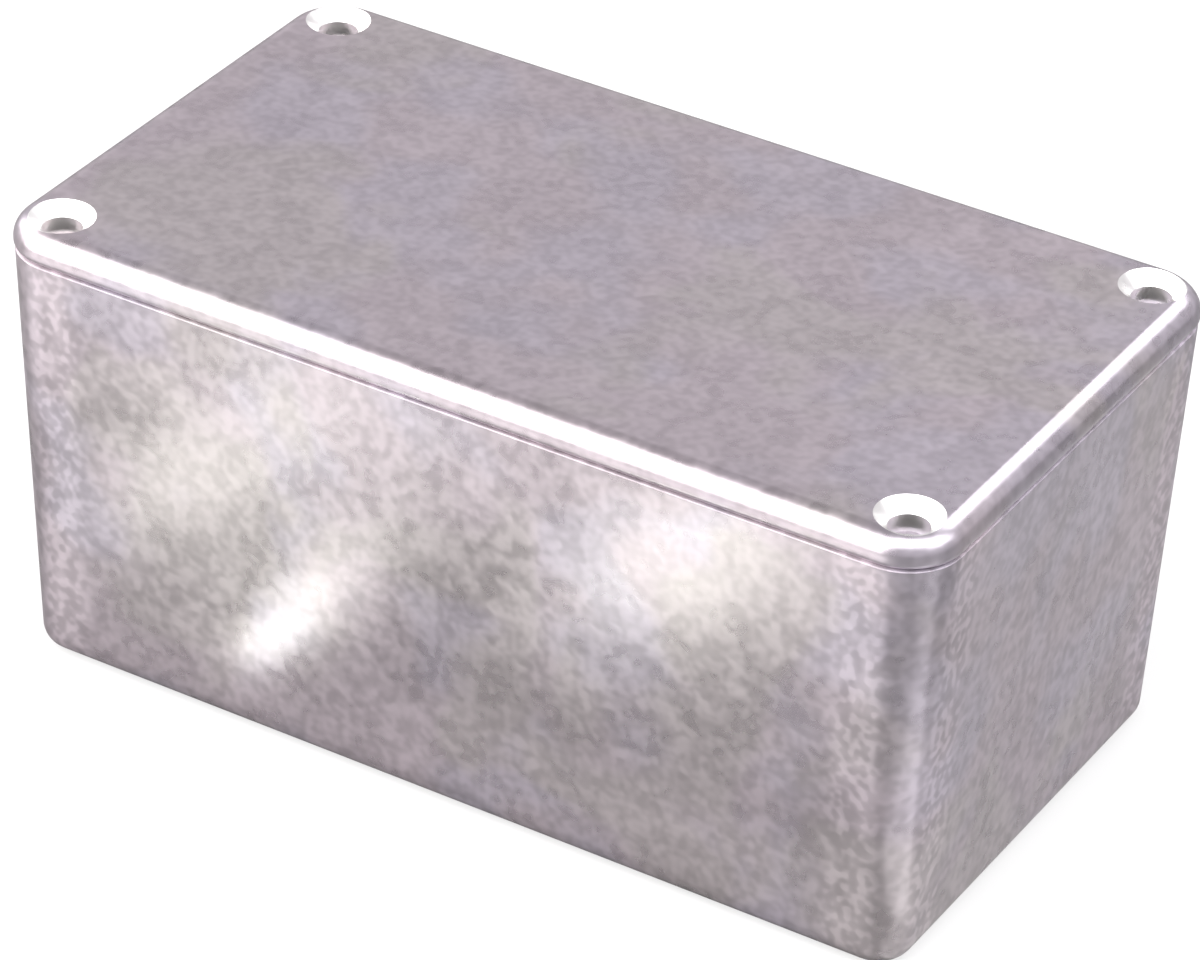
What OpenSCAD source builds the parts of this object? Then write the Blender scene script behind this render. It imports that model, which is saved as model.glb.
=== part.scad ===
// Die cast aluminium box: a drafted one-piece body, cored out around four screw bosses
// and rows of board guides, and a one-piece lid with countersunk corner holes that
// stands on the rim and is located by its lip. Millimetres, +Z up, origin at the centre
// of the underside, length along X.

/* [Box] */
// Length over the lid
box_l = 115; // [90:1:190]
// Width over the lid
box_w = 64.5; // [50:0.5:120]
// Height with the lid on
box_h = 55; // [30:1:80]
// Radius of the upright corners at the lid, seen from above
corner_r = 6.6; // [6:0.1:10]
// Draft of the walls in degrees, outside and inside alike
draft = 2.5; // [0.5:0.25:3]
// Rounding of the edge around the underside
base_edge_r = 2.6; // [1:0.1:3]
// Width of the shallow bevel around the body's rim, under the lid's edge
rim_bevel_w = 0.5; // [0.2:0.05:0.8]
// Slope of that bevel in degrees
rim_bevel_slope = 22; // [15:1:45]
// Rounding between the bevel and the walls
rim_edge_r = 0.15; // [0.05:0.05:0.25]

/* [Casting] */
// Thickness of the walls
wall = 2.2; // [1.6:0.1:2.8]
// Thickness of the floor
floor_t = 2.4; // [1.6:0.1:4]
// Radius of the upright corners inside, at the rim
core_corner_r = 6; // [5:0.1:8]
// Fillet between the floor and the walls, inside
floor_fillet = 1.5; // [0.5:0.1:2]

/* [Lid] */
// Height of the lid's edge, from the seam to the top
lid_edge_h = 3.5; // [3.4:0.1:5]
// Rounding of the lid's top edge
lid_edge_r = 2.5; // [1:0.1:2.5]
// Rounding of the lid's lower edge at the seam
lid_seam_r = 0.8; // [0.2:0.1:0.9]
// Thickness of the lid's plate inside the lip
lid_plate_t = 2; // [1.6:0.1:2.6]
// How far the lid stands out past the body's rim, all round
lid_overhang = 0.15; // [0:0.05:0.4]
// Thickness of the locating lip
lip_t = 1.6; // [1.2:0.1:2.2]
// Depth of the locating lip below the seam
lip_h = 1.8; // [1:0.1:3]
// Chamfer on the lip's lower outer edge
lip_chamfer = 0.4; // [0.2:0.1:0.8]
// Clearance between the lip and the walls and bosses
lip_gap = 0.25; // [0.15:0.05:0.5]

/* [Screw holes] */
// Distance of the screw holes from the lid's short ends
screw_inset_x = 5.75; // [5.5:0.05:7]
// Distance of the screw holes from the lid's long sides
screw_inset_y = 5.5; // [5.5:0.05:7]
// Diameter of the clearance holes in the lid
clear_d = 4.5; // [4.2:0.1:4.8]
// Diameter of the countersinks at the top of the lid
sink_d = 7.4; // [6.6:0.1:8.4]
// Core diameter of the tapped holes in the bosses
tap_d = 3.3; // [2.8:0.1:3.7]
// Depth of the tapped holes, without their drill point
tap_depth = 14; // [8:0.5:18]
// Radius of the bosses at the rim
boss_r = 4.2; // [3.8:0.1:5]
// Draft of the bosses in degrees
boss_draft = 1; // [0.5:0.25:1.5]
// How far the pads under the lid stand out past the bosses that they sit on
pad_margin = 0.8; // [0.5:0.1:1.2]

/* [Board guides] */
// Width of the slot between two ribs, for a circuit board's edge
guide_slot = 2; // [1.6:0.1:3]
// Thickness of a rib
rib_t = 1.3; // [1:0.1:1.8]
// How far a rib stands out from the wall
rib_depth = 1.6; // [1.2:0.1:2.2]
// How far below the rim the ribs end
rib_drop = 5; // [3:0.5:10]
// Spacing of the slots along the long walls
long_pitch = 15; // [8:0.5:30]
// Spacing of the slots along the short walls
end_pitch = 13; // [8:0.5:30]
// Least gap between a boss and the nearest rib
guide_margin = 2; // [1.5:0.5:6]

/* [Ejector marks] */
// Diameter of the round marks that the ejector pins leave inside
mark_d = 6; // [4:0.5:8]
// Depth of the marks
mark_depth = 0.25; // [0.15:0.05:0.4]
// Distance of the marks from the box's short ends
mark_inset_x = 25; // [20:1:32]
// Distance of the marks from the box's long sides
mark_inset_y = 19; // [16:0.5:20]

/* [Hidden] */
$fn = 48;
// what a cutting solid runs past the face that it opens
over = 1;
drill_point_angle = 118;
seam_z = box_h - lid_edge_h;
lid_ceiling_z = box_h - lid_plate_t;
// centres of the upright corners: [x, y] outside, shared by the body and the lid, and
// [x, y] inside, shared by the cavity, the lip and the hollow under the lid
outer = [box_l / 2 - corner_r, box_w / 2 - corner_r];
inset = lid_overhang + wall + core_corner_r;
core = [box_l / 2 - inset, box_w / 2 - inset];
// radii about those centres, at the seam
rim_r = corner_r - lid_overhang;
lip_out_r = core_corner_r - lip_gap;
lip_in_r = lip_out_r - lip_t;
screw_x = box_l / 2 - screw_inset_x;
screw_y = box_w / 2 - screw_inset_y;
mark_x = box_l / 2 - mark_inset_x;
mark_y = box_w / 2 - mark_inset_y;
sink_depth = (sink_d - clear_d) / 2;
guide_pair = guide_slot + 2 * rib_t;
boss_foot_r = boss_radius(floor_t);
body_grey = [0.79, 0.78, 0.8];
lid_grey = [0.72, 0.71, 0.73];

// radius of a drafted wall at height z, about the corner centres, from its radius at the rim
function drafted_radius(at_rim, z) = at_rim - (seam_z - z) * tan(draft);

function boss_radius(z) = boss_r + (seam_z - z) * tan(boss_draft);

// how many slots of a given pitch fit between two bosses
function guide_count(boss_at, pitch) =
    1 + floor((2 * (boss_at - boss_foot_r - guide_margin) - guide_pair) / pitch);

// one copy in each of the four corners
module at_corners(x, y)
    for (side_x = [-1, 1], side_y = [-1, 1])
        translate([side_x * x, side_y * y, 0]) children();

// A section, given outward of the corner centres and up, run along a straight wall that
// faces +X, with the centres that far out.
module straight_run(distance, half_length)
    translate([distance, half_length, 0]) rotate([90, 0, 0])
        linear_extrude(2 * half_length) children();

// the section run along all four walls and turned through the corners between them
module swept_ring(centres)
    for (turn = [0, 180]) {
        rotate([0, 0, turn]) straight_run(centres.x, centres.y) children();
        rotate([0, 0, turn + 90]) straight_run(centres.y, centres.x) children();
        rotate([0, 0, turn]) translate([centres.x, centres.y, 0])
            rotate_extrude(angle = 90) children();
        rotate([0, 0, turn]) translate([-centres.x, centres.y, 0]) rotate([0, 0, 90])
            rotate_extrude(angle = 90) children();
    }

// the same, filled in between the corner centres
module swept_block(centres, low_z, high_z) {
    translate([-centres.x, -centres.y, low_z])
        cube([2 * centres.x, 2 * centres.y, high_z - low_z]);
    swept_ring(centres) children();
}

// the sector that rounds a section's corner, between its two tangent points
module rounding(centre, tangent_a, corner, tangent_b, radius)
    intersection() {
        translate(centre) circle(radius);
        polygon([centre, tangent_a, corner, tangent_b]);
    }

// Section of the body's outside: drafted, rounded at the underside, bevelled at the rim.
module body_section() {
    side = [cos(draft), -sin(draft)];
    foot_r = drafted_radius(rim_r, 0);
    foot_c = [foot_r - base_edge_r * tan(45 - draft / 2), base_edge_r];
    foot_low = [foot_c.x, 0];
    foot_side = foot_c + base_edge_r * side;
    bevel = [sin(rim_bevel_slope), cos(rim_bevel_slope)];
    bevel_z = seam_z - rim_bevel_w * tan(rim_bevel_slope);
    bevel_out = [drafted_radius(rim_r, bevel_z), bevel_z];
    bevel_in = [bevel_out.x - rim_bevel_w, seam_z];
    edge_c = bevel_out - rim_edge_r * (side + bevel) / (1 + side * bevel);
    edge_side = edge_c + rim_edge_r * side;
    edge_bevel = edge_c + rim_edge_r * bevel;
    polygon([[0, 0], foot_low, foot_c, foot_side, edge_side, edge_c, edge_bevel, bevel_in,
             [0, seam_z]]);
    rounding(foot_c, foot_low, [foot_r, 0], foot_side, base_edge_r);
    rounding(edge_c, edge_side, bevel_out, edge_bevel, rim_edge_r);
}

// Section of the cavity: drafted like the outside, with a fillet at the floor.
module cavity_section() {
    high_z = seam_z + over;
    floor_r = drafted_radius(core_corner_r, floor_t);
    fillet_c = [floor_r - floor_fillet * tan(45 - draft / 2), floor_t + floor_fillet];
    fillet_low = [fillet_c.x, floor_t];
    fillet_side = fillet_c + floor_fillet * [cos(draft), -sin(draft)];
    polygon([[0, floor_t], fillet_low, fillet_c, fillet_side,
             [drafted_radius(core_corner_r, high_z), high_z], [0, high_z]]);
    rounding(fillet_c, fillet_low, [floor_r, floor_t], fillet_side, floor_fillet);
}

// Section of a guide rib: it follows the wall's draft and has a sloped lead-in on top.
module rib_section() {
    root = wall / 2;
    low_z = floor_t - over;
    top_z = seam_z - rib_drop;
    lead_z = top_z - rib_depth;
    polygon([[drafted_radius(core_corner_r, low_z) + root, low_z],
             [drafted_radius(core_corner_r, low_z) - rib_depth, low_z],
             [drafted_radius(core_corner_r, lead_z) - rib_depth, lead_z],
             [drafted_radius(core_corner_r, top_z), top_z],
             [drafted_radius(core_corner_r, top_z) + root, top_z + root]]);
}

// one wall's slots, each between two ribs
module guide_row(distance, count, pitch)
    for (i = [0 : count - 1], side = [-1, 1])
        translate([0, (i - (count - 1) / 2) * pitch + side * (guide_slot + rib_t) / 2, 0])
            straight_run(distance, rib_t / 2) rib_section();

module guides()
    for (turn = [0, 180]) {
        rotate([0, 0, turn])
            guide_row(core.x, guide_count(screw_y, end_pitch), end_pitch);
        rotate([0, 0, turn + 90])
            guide_row(core.y, guide_count(screw_x, long_pitch), long_pitch);
    }

module boss() {
    low_z = floor_t - over;
    high_z = seam_z + 2 * over;
    translate([0, 0, low_z])
        cylinder(h = high_z - low_z, r1 = boss_radius(low_z), r2 = boss_radius(high_z));
}

// what the core of the mould leaves empty
module cavity()
    difference() {
        swept_block(core, floor_t, seam_z + over) cavity_section();
        at_corners(screw_x, screw_y) boss();
        guides();
    }

module tapped_hole() {
    point_h = tap_d / 2 / tan(drill_point_angle / 2);
    translate([0, 0, seam_z - tap_depth]) cylinder(h = tap_depth + over, d = tap_d);
    translate([0, 0, seam_z - tap_depth - point_h]) cylinder(h = point_h, d1 = 0, d2 = tap_d);
}

// the ejector marks' four shallow round recesses
module marks(low_z, high_z)
    at_corners(mark_x, mark_y)
        translate([0, 0, low_z]) cylinder(h = high_z - low_z, d = mark_d);

module body()
    color(body_grey) difference() {
        swept_block(outer, 0, seam_z) body_section();
        cavity();
        at_corners(screw_x, screw_y) tapped_hole();
        marks(floor_t - mark_depth, floor_t + over);
    }

// Section of the lid's outside: square at the side, well rounded on top.
module lid_section() {
    low_c = [corner_r - lid_seam_r, seam_z + lid_seam_r];
    low_in = [low_c.x, seam_z];
    low_side = [corner_r, low_c.y];
    top_c = [corner_r - lid_edge_r, box_h - lid_edge_r];
    top_in = [top_c.x, box_h];
    top_side = [corner_r, top_c.y];
    polygon([[0, seam_z], low_in, low_c, low_side, top_side, top_c, top_in, [0, box_h]]);
    rounding(low_c, low_in, [corner_r, seam_z], low_side, lid_seam_r);
    rounding(top_c, top_side, [corner_r, box_h], top_in, lid_edge_r);
}

// Section of the locating lip, rooted in the lid's edge.
module lip_section() {
    low_z = seam_z - lip_h;
    root_z = seam_z + (lid_edge_h - lid_plate_t) / 2;
    polygon([[lip_in_r, low_z], [lip_out_r - lip_chamfer, low_z],
             [lip_out_r, low_z + lip_chamfer], [lip_out_r, root_z], [lip_in_r, root_z]]);
}

// the hollow under the lid's plate, which leaves a pad around each screw hole
module lid_hollow() {
    low_z = seam_z - over;
    difference() {
        swept_block(core, low_z, lid_ceiling_z)
            translate([0, low_z]) square([lip_in_r, lid_ceiling_z - low_z]);
        at_corners(screw_x, screw_y) translate([0, 0, low_z - over])
            cylinder(h = lid_edge_h + 2 * over, r = boss_r + pad_margin);
    }
}

// clears the lip from around a boss
module boss_relief()
    translate([0, 0, seam_z - lip_h - over])
        cylinder(h = lip_h + over, r = boss_r + lip_gap);

module screw_hole() {
    translate([0, 0, seam_z - over]) cylinder(h = lid_edge_h + over, d = clear_d);
    translate([0, 0, box_h - sink_depth])
        cylinder(h = sink_depth + over, d1 = clear_d, d2 = sink_d + 2 * over);
}

module lid()
    color(lid_grey) difference() {
        union() {
            difference() {
                swept_block(outer, seam_z, box_h) lid_section();
                lid_hollow();
            }
            swept_ring(core) lip_section();
        }
        at_corners(screw_x, screw_y) {
            boss_relief();
            screw_hole();
        }
        marks(lid_ceiling_z - over, lid_ceiling_z + mark_depth);
    }

body();
lid();
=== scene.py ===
import math

import bpy
from mathutils import Matrix, Vector


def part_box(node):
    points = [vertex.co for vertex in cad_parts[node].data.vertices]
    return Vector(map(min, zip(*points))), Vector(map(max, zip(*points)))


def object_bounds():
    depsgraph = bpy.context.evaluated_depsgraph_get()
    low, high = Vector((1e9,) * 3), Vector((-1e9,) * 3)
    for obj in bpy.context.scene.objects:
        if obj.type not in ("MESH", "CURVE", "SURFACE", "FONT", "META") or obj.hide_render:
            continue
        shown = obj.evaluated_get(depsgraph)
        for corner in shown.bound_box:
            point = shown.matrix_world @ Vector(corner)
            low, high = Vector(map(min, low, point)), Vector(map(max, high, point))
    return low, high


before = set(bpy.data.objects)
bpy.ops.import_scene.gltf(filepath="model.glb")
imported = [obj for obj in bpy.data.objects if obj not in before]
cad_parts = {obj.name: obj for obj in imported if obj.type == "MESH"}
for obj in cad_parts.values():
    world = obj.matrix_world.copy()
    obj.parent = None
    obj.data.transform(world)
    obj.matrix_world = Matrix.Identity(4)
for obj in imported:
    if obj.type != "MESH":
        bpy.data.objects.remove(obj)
cad_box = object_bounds()

MM = 0.001
low, high = cad_box
middle = (low + high) / 2

# The body's rim, the upright corners' radius and the screw holes' places, as in the CAD
RIM_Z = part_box("body")[1].z
CORNER_R = 6.6 * MM
SCREW_X = high.x - 5.75 * MM
SCREW_Y = high.y - 5.5 * MM

# Camera, given about the middle of the box
AZIMUTH = 30.14
ELEVATION = 32.83
ROLL = 2.22
DISTANCE = 0.6377
ASIDE = 0.39 * MM
ABOVE = -1.33 * MM
LENS_MM = 175.4
SENSOR_MM = 36
CLIP_START, CLIP_END = 0.01, 20

# Floor and surround
FLOOR_HALF = 3.0
FLOOR_ALBEDO = 0.25
FLOOR_LIFT = 0.70
# How far inside the box's sides the floor is open, just within the flat of the underside
OPEN_INSET = 5.2 * MM
WORLD_COLOUR = (1.0, 0.975, 1.0)
WORLD_LOW = 0.71
WORLD_OVERHEAD = 0.45
# Height of the direction, from 0 level to 1 straight up, over which the one becomes the other
WORLD_BLEND = (0.55, 0.80)

# Light colours
WHITE = (1, 1, 1)
WARM = (1.0, 0.985, 0.955)
GLOW = (0.95, 1.0, 0.89)

# All softboxes stand this far from the box's middle
SOFTBOX_DISTANCE = 1.1
# Name, azimuth and elevation in degrees, width and height in metres, radiance, colour
SOFTBOXES = (
    ("key", -38, 30, 1.4, 1.5, 3.0, WARM),
    ("side", -92, 28, 0.7, 0.7, 2.6, WARM),
    ("overhead", 30, 62, 1.0, 0.8, 2.8, WHITE),
    ("right", 98, 46, 0.8, 0.7, 2.8, WHITE),
    ("back", 170, 42, 0.54, 0.40, 2.9, WHITE),
)

# Name, x, y, width and length in millimetres, turn in degrees, radiance, colour
CARDS = (
    ("card_far", -72, -136, 235, 116, 0, 0.40, WARM),
    ("card_beyond", -82, -190, 260, 170, 0, 0.7, WARM),
    ("card_near", -5, -38, 115, 12, 0, 0.10, WARM),
    ("card_strip", 38, -76, 24, 36, 0, 0.22, WHITE),
    ("card_right", 77, 34, 46, 130, 0, 0.24, WHITE),
    ("card_corner", 106, -36, 88, 26, 0, 0.4, WHITE),
    ("card_left", -66, -56, 28, 46, 0, 0.16, WARM),
    ("card_left_far", -122, -72, 50, 60, 0, 0.5, WHITE),
    ("card_haze", -44, -68, 26, 36, 10, 0.38, GLOW),
    ("card_long", -56, -74, 13, 32, 19, 1.35, GLOW),
    ("card_thin", -32, -51.5, 6, 22, 0, 2.8, GLOW),
    ("card_wide", 0, -79, 15, 20, 51, 3.0, GLOW),
)
# A card's height over the floor times its length, so that cards that overlap don't coincide
CARD_LIFT_MM2 = 10

# Tints of the bare metal, of much the same brightness
ROSE = (0.620, 0.551, 0.598, 1)
LAVENDER = (0.605, 0.555, 0.624, 1)
STONE = (0.612, 0.560, 0.578, 1)
# The same metal where a drill has just cut it, made lighter still as a painted highlight
BRIGHT = (0.93, 0.92, 0.915, 1)

# Height of the mottling and of the grain, and how strongly both turn the surface
MOTTLE_RELIEF = 0.03 * MM
GRAIN_RELIEF = 0.006 * MM
RELIEF_STRENGTH = 0.5

# How far from a screw's axis the metal is bright, as freshly drilled metal and a painted highlight:
# just past the wall of the tapped hole in the body, just short of the countersink's edge in the
# lid, and the width over which that ends
TAP_BRIGHT_R = 1.66 * MM
SINK_BRIGHT_R = 3.69 * MM
BRIGHT_END = 0.02 * MM

# Where the strip beside an upright corner, worn and lighter with a painted sheen, begins and ends,
# as from_corner measures it, and how much rougher it is
WEAR_AND_SHEEN_BEGINS = (-5.5 * MM, -2.5 * MM)
WEAR_AND_SHEEN_ENDS = (0.5 * MM, 2.5 * MM)
WORN_ROUGH = 0.08
# How far under the rim its rough bevel begins and is rough all over, and how much rougher it is
BEVEL_BEGINS, BEVEL_FULL = 0.35 * MM, 0.2 * MM
BEVEL_ROUGH = 0.32


# Camera

def direction(azimuth, elevation):
    """Unit vector from the box towards a place at that azimuth and elevation, in degrees."""
    a, e = math.radians(azimuth), math.radians(elevation)
    return Vector((math.sin(a) * math.cos(e), -math.cos(a) * math.cos(e), math.sin(e)))


def link(thing):
    bpy.context.scene.collection.objects.link(thing)
    return thing


def make_camera():
    back = direction(AZIMUTH, ELEVATION)
    right = Vector((0, 0, 1)).cross(back).normalized()
    up = back.cross(right)
    data = bpy.data.cameras.new("camera")
    data.sensor_width = SENSOR_MM
    data.lens = LENS_MM
    data.clip_start, data.clip_end = CLIP_START, CLIP_END
    camera = link(bpy.data.objects.new("camera", data))
    place = middle + DISTANCE * back + ASIDE * right + ABOVE * up
    roll = Matrix.Rotation(math.radians(ROLL), 3, "Z")
    turn = Matrix((right, up, back)).transposed() @ roll
    camera.matrix_world = Matrix.Translation(place) @ turn.to_4x4()
    bpy.context.scene.camera = camera


# Nodes

class Graph:
    """A material's or a world's node tree, with short ways to add and join nodes."""

    def __init__(self, owner):
        owner.use_nodes = True
        self.tree = owner.node_tree
        self.tree.nodes.clear()

    def fill(self, socket, value):
        """Joins the socket to another one, or gives it a constant."""
        if isinstance(value, bpy.types.NodeSocket):
            self.tree.links.new(value, socket)
        else:
            socket.default_value = value

    def add(self, kind, settings=None, **sockets):
        """A shader node of that kind. In a socket's name, _ stands for a space."""
        node = self.tree.nodes.new("ShaderNode" + kind)
        for name, value in (settings or {}).items():
            setattr(node, name, value)
        for name, value in sockets.items():
            self.fill(node.inputs[name.replace("_", " ")], value)
        return node

    def noise(self, where, size, detail, rough=0.5, distort=0.0):
        """Noise from 0 to 1 whose lumps are about size metres across."""
        return self.add("TexNoise", Vector=where, Scale=1 / size, Detail=detail,
                        Roughness=rough, Distortion=distort).outputs["Fac"]

    def spread(self, value, low, high, to_low=0.0, to_high=1.0):
        """value from low to high becomes to_low to to_high, with soft ends."""
        return self.add("MapRange", {"interpolation_type": "SMOOTHSTEP"}, Value=value,
                        From_Min=low, From_Max=high, To_Min=to_low,
                        To_Max=to_high).outputs["Result"]

    def math(self, operation, *values):
        node = self.add("Math", {"operation": operation})
        for socket, value in zip(node.inputs, values):
            self.fill(socket, value)
        return node.outputs[0]

    def sum(self, first, *others):
        for other in others:
            first = self.math("ADD", first, other)
        return first

    def blend(self, amount, a, b):
        """Colour a where amount is 0 and b where it is 1."""
        node = self.add("Mix", {"data_type": "RGBA"})
        # The node has sockets for every type of data. These are the factor and the two colours
        for socket, value in zip((node.inputs[0], node.inputs[6], node.inputs[7]), (amount, a, b)):
            self.fill(socket, value)
        return node.outputs[2]

    def scaled(self, colour, factor):
        return self.add("VectorMath", {"operation": "SCALE"}, Vector=colour,
                        Scale=factor).outputs["Vector"]

    def shaders(self, kind, *values):
        """A Mix Shader or an Add Shader of those values, in the order of its sockets."""
        node = self.add(kind)
        for socket, value in zip(node.inputs, values):
            self.fill(socket, value)
        return node.outputs["Shader"]


# Materials

def from_corner(g, x, y):
    """How far a point lies inside the square round an upright corner's rounding, in metres.
    It is negative outside the square."""
    ax = g.math("SUBTRACT", g.math("ABSOLUTE", x), high.x - CORNER_R)
    ay = g.math("SUBTRACT", g.math("ABSOLUTE", y), high.y - CORNER_R)
    return g.math("MINIMUM", ax, ay)


def from_screw(g, x, y):
    """Distance from the nearest screw hole's axis, in metres."""
    dx = g.math("SUBTRACT", g.math("ABSOLUTE", x), SCREW_X)
    dy = g.math("SUBTRACT", g.math("ABSOLUTE", y), SCREW_Y)
    return g.math("SQRT", g.sum(g.math("MULTIPLY", dx, dx), g.math("MULTIPLY", dy, dy)))


def cast_aluminium(name, variety, bright_r, rim=False):
    """Bare die cast aluminium: satin, with flow marks, stains, mottling and a tumbled grain.
    variety scales the marks. The metal is bright within bright_r of a screw's axis, as freshly
    drilled metal and a painted highlight. The piece with the rim is rough on the rim's bevel, and
    worn, speckled and lighter with a painted sheen by its upright corners."""
    material = bpy.data.materials.new(name)
    g = Graph(material)
    where = g.add("TexCoord").outputs["Object"]
    split = g.add("SeparateXYZ", Vector=where)
    x, y, z = (split.outputs[axis] for axis in "XYZ")

    # Size of the lumps, detail, roughness and distortion
    flow = g.noise(where, 26 * MM, 3, 0.55, 1.5)
    hue = g.noise(where, 15 * MM, 1)
    stain = g.noise(where, 21 * MM, 2, 0.5, 0.5)
    cloud = g.noise(where, 7 * MM, 3, 0.6, 0.5)
    mottle = g.noise(where, 2.0 * MM, 1, 0.5, 0.2)
    grain = g.noise(where, 1.0 * MM, 0)

    tint = g.blend(g.spread(hue, 0.45, 0.62), ROSE, LAVENDER)
    tint = g.blend(g.spread(stain, 0.48, 0.62), tint, STONE)
    # Brightness, as a factor on the tint
    tone = g.sum(g.spread(flow, 0.35, 0.65, 0.94 - 0.05 * variety, 0.94 + 0.04 * variety),
                 g.spread(cloud, 0.35, 0.65, -0.03 * variety, 0.04 * variety),
                 g.spread(mottle, 0.3, 0.7, -0.10 * variety, 0.10 * variety),
                 g.spread(grain, 0.3, 0.7, -0.03, 0.03))
    rough = g.sum(g.spread(cloud, 0.3, 0.7, 0.25, 0.31), g.spread(mottle, 0.3, 0.7, 0, 0.04))
    if rim:
        strip = from_corner(g, x, y)
        wear_and_sheen = g.math("MULTIPLY", g.spread(strip, *WEAR_AND_SHEEN_BEGINS), g.spread(strip, *WEAR_AND_SHEEN_ENDS, 1, 0))
        # Lighter in specks along the upright corners: partly wear, partly a painted sheen where
        # they catch light
        speckle = g.spread(grain, 0.42, 0.66, 0.02, 0.16)
        tone = g.sum(tone, g.math("MULTIPLY", wear_and_sheen, speckle))
        bevel = g.spread(z, RIM_Z - BEVEL_BEGINS, RIM_Z - BEVEL_FULL, 0, BEVEL_ROUGH)
        rough = g.sum(rough, g.math("MULTIPLY", wear_and_sheen, WORN_ROUGH), bevel)
    colour = g.scaled(tint, tone)
    # Painted highlight round the screw holes, on the lighter colour of freshly drilled metal
    drilled_and_highlight = g.spread(from_screw(g, x, y), bright_r, bright_r + BRIGHT_END, 1, 0)
    colour = g.blend(drilled_and_highlight, colour, BRIGHT)
    lumps = g.add("Bump", Strength=RELIEF_STRENGTH, Distance=MOTTLE_RELIEF, Height=mottle)
    relief = g.add("Bump", Strength=RELIEF_STRENGTH, Distance=GRAIN_RELIEF, Height=grain,
                   Normal=lumps.outputs["Normal"])
    shader = g.add("BsdfPrincipled", Base_Color=colour, Metallic=1.0, Roughness=rough,
                   Normal=relief.outputs["Normal"])
    g.add("OutputMaterial", Surface=shader.outputs["BSDF"])
    return material


def pale_floor(name):
    """Matt and pale, lifted towards white where it is seen directly, and clear from below."""
    material = bpy.data.materials.new(name)
    g = Graph(material)
    matt = g.add("BsdfDiffuse", Color=(FLOOR_ALBEDO, FLOOR_ALBEDO, FLOOR_ALBEDO, 1)).outputs["BSDF"]
    glow = g.add("Emission", Strength=FLOOR_LIFT).outputs["Emission"]
    lifted = g.shaders("AddShader", matt, glow)
    top = g.shaders("MixShader", g.add("LightPath").outputs["Is Camera Ray"], matt, lifted)
    clear = g.add("BsdfTransparent").outputs["BSDF"]
    below = g.add("NewGeometry").outputs["Backfacing"]
    g.add("OutputMaterial", Surface=g.shaders("MixShader", below, top, clear))
    return material


# Studio

def make_floor():
    """A wide floor, open under the box, so that the underside has something to mirror."""
    opening = (high.x - OPEN_INSET, high.y - OPEN_INSET)
    corners = [(sx * x, sy * y, low.z) for x, y in ((FLOOR_HALF, FLOOR_HALF), opening)
               for sx, sy in ((-1, -1), (1, -1), (1, 1), (-1, 1))]
    faces = [(i, (i + 1) % 4, 4 + (i + 1) % 4, 4 + i) for i in range(4)]
    mesh = bpy.data.meshes.new("floor")
    mesh.from_pydata(corners, [], faces)
    mesh.materials.append(pale_floor("floor_white"))
    link(bpy.data.objects.new("floor", mesh))


def make_world():
    """An even surround, with another strength overhead."""
    world = bpy.data.worlds.new("studio")
    bpy.context.scene.world = world
    g = Graph(world)
    towards = g.add("TexCoord").outputs["Generated"]
    height = g.add("SeparateXYZ", Vector=towards).outputs["Z"]
    strength = g.spread(height, *WORLD_BLEND, WORLD_LOW, WORLD_OVERHEAD)
    sky = g.add("Background", Color=(*WORLD_COLOUR, 1), Strength=strength)
    g.add("OutputWorld", Surface=sky.outputs["Background"])


def panel(name, place, width, height, radiance, colour):
    """A rectangular area light of that radiance, unseen by the camera itself."""
    data = bpy.data.lights.new(name, "AREA")
    data.shape = "RECTANGLE"
    data.size, data.size_y = width, height
    data.energy = radiance * math.pi * width * height
    data.color = colour
    lamp = link(bpy.data.objects.new(name, data))
    lamp.location = place
    lamp.visible_camera = False
    return lamp


def softbox(name, azimuth, elevation, width, height, radiance, colour):
    """A panel at that azimuth and elevation, aimed at the box."""
    place = middle + SOFTBOX_DISTANCE * direction(azimuth, elevation)
    lamp = panel(name, place, width, height, radiance, colour)
    lamp.rotation_euler = (place - middle).to_track_quat("Z", "Y").to_euler()


def floor_card(name, x, y, width, length, turn, radiance, colour):
    """A bright card that lies on the floor, for the upright sides to mirror."""
    place = Vector((x, y, CARD_LIFT_MM2 / length)) * MM
    lamp = panel(name, place, width * MM, length * MM, radiance, colour)
    lamp.rotation_euler = (math.pi, 0, math.radians(turn))


make_camera()
make_floor()
make_world()
for row in SOFTBOXES:
    softbox(*row)
for row in CARDS:
    floor_card(*row)

for node, material in (("body", cast_aluminium("body_casting", 1.0, TAP_BRIGHT_R, rim=True)),
                       ("lid", cast_aluminium("lid_casting", 0.55, SINK_BRIGHT_R))):
    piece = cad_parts[node]
    piece.data.materials.clear()
    piece.data.materials.append(material)

bpy.context.scene.view_settings.view_transform = "Standard"
